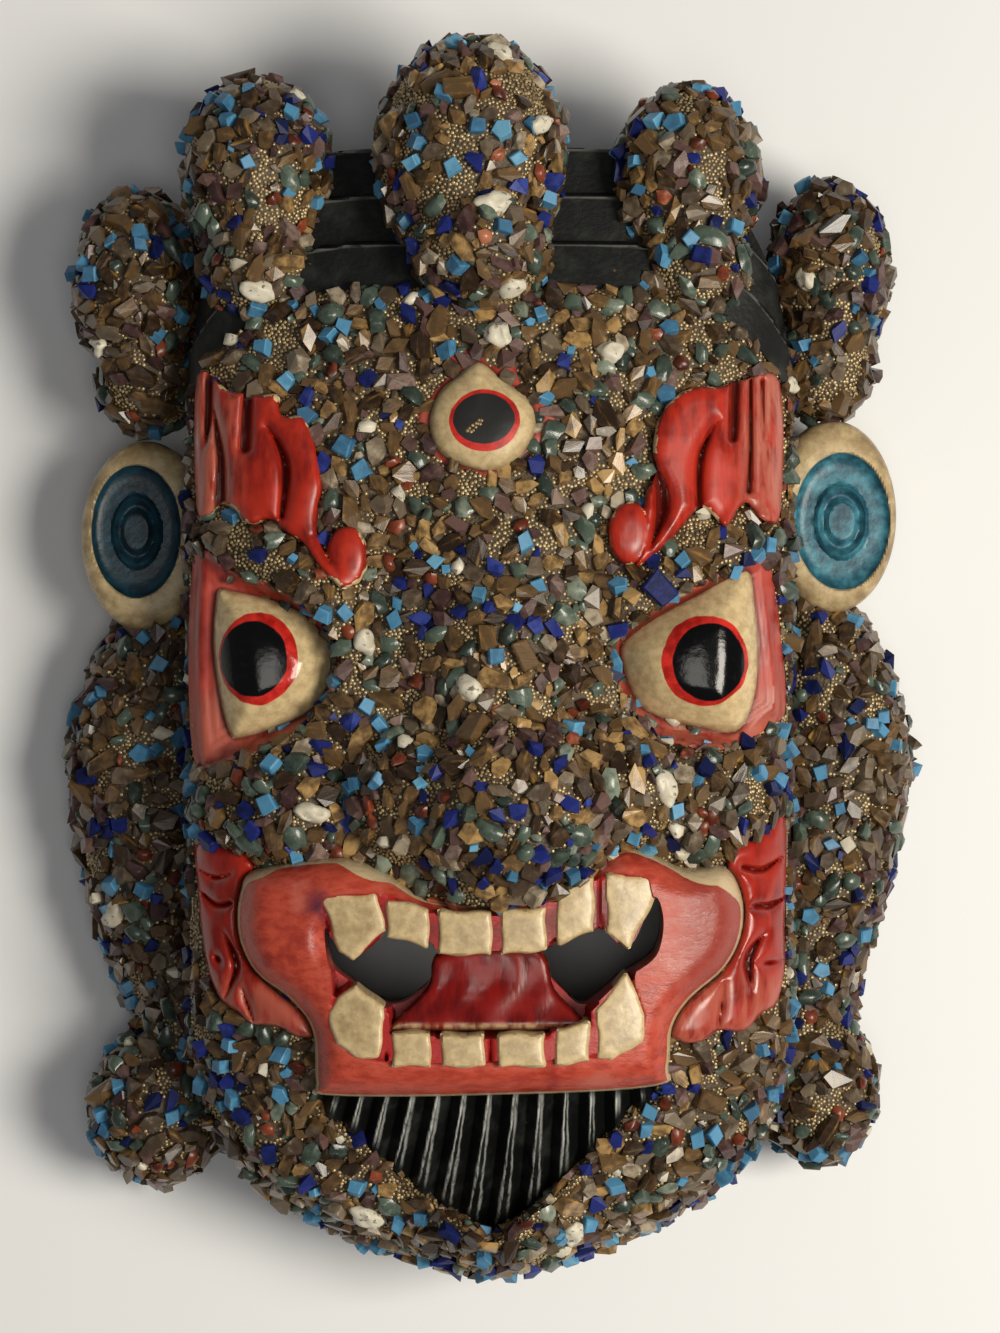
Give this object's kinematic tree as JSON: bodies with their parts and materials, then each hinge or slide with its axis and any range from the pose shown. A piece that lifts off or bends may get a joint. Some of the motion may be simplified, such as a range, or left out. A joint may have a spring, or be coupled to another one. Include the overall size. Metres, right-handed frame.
{
  "type": "carved wooden wall mask",
  "caption": "Carved wooden mask of a wrathful guardian with skull knobs, ear plugs, an open fanged mouth and a crust of set stone chips and brass beads.",
  "frame": {"origin": "middle of the mask's box in X and Y, on the plane of the flat back rim that it lies on", "axes": "+X to the right of the face as it is looked at, +Y from the chin to the crown, +Z out of the face"},
  "size_m": [0.2552, 0.3618, 0.1228],
  "materials": {
    "carved_wood": "matte",
    "howlite": "polished",
    "tiger_eye": "polished",
    "lapis": "polished",
    "turquoise": "satin",
    "aventurine": "polished",
    "carnelian": "polished",
    "amethyst": "polished",
    "quartz": "polished",
    "brass_beads": "satin",
    "red_lacquer": "gloss",
    "cream_paint": "satin",
    "black_paint": "satin",
    "blue_paint": "gloss"
  },
  "bodies": {
    "root": {"carved_mask": "carved_wood", "howlite_nugget_01": "howlite", "howlite_nugget_02": "howlite", "howlite_nugget_03": "howlite", "howlite_nugget_04": "howlite", "howlite_nugget_05": "howlite", "howlite_nugget_06": "howlite", "howlite_nugget_07": "howlite", "howlite_nugget_08": "howlite", "howlite_nugget_09": "howlite", "howlite_nugget_10": "howlite", "howlite_nugget_11": "howlite", "howlite_nugget_12": "howlite", "howlite_nugget_13": "howlite", "howlite_nugget_14": "howlite", "howlite_nugget_15": "howlite", "howlite_nugget_16": "howlite", "howlite_nugget_17": "howlite", "tiger_eye_chip_01": "tiger_eye", "tiger_eye_chip_02": "tiger_eye", "tiger_eye_chip_03": "tiger_eye", "tiger_eye_chip_04": "tiger_eye", "tiger_eye_chip_05": "tiger_eye", "lapis_chip_01": "lapis", "lapis_chip_02": "lapis", "lapis_chip_03": "lapis", "turquoise_chip_01": "turquoise", "turquoise_chip_02": "turquoise", "turquoise_chip_03": "turquoise", "turquoise_chip_04": "turquoise", "turquoise_chip_05": "turquoise", "aventurine_chip_01": "aventurine", "aventurine_chip_02": "aventurine", "carnelian_chip_01": "carnelian"}
  },
  "joints": []
}
